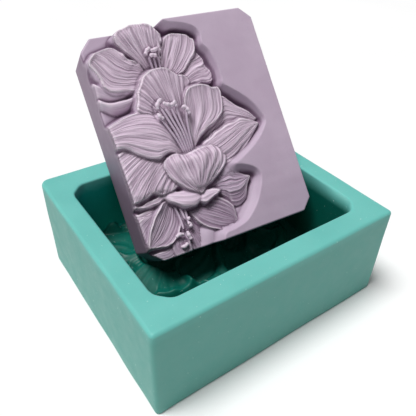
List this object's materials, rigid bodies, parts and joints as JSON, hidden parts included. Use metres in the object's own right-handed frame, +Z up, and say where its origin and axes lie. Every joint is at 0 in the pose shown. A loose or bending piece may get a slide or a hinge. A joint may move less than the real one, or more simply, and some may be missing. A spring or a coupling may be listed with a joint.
{
  "type": "silicone soap mould",
  "caption": "Open silicone block mould with a lily relief in its floor, and the soap bar cast in it leaning on the rim.",
  "frame": {"origin": "centre of the mould's flat base", "axes": "+X along the mould's long side, +Y towards the long side that the bar leans on, +Z up out of the cavity"},
  "size_m": [0.1, 0.1061, 0.0921],
  "materials": {
    "silicone": "satin",
    "soap": "waxy matte"
  },
  "bodies": {
    "mould": {"silicone_mould": "silicone"},
    "bar": {"soap_bar": "soap"}
  },
  "joints": [
    {"name": "bar_lift", "type": "slide", "parent": "mould", "child": "bar", "axis": [0, 0, 1], "range_m": [0, 0.06]}
  ]
}
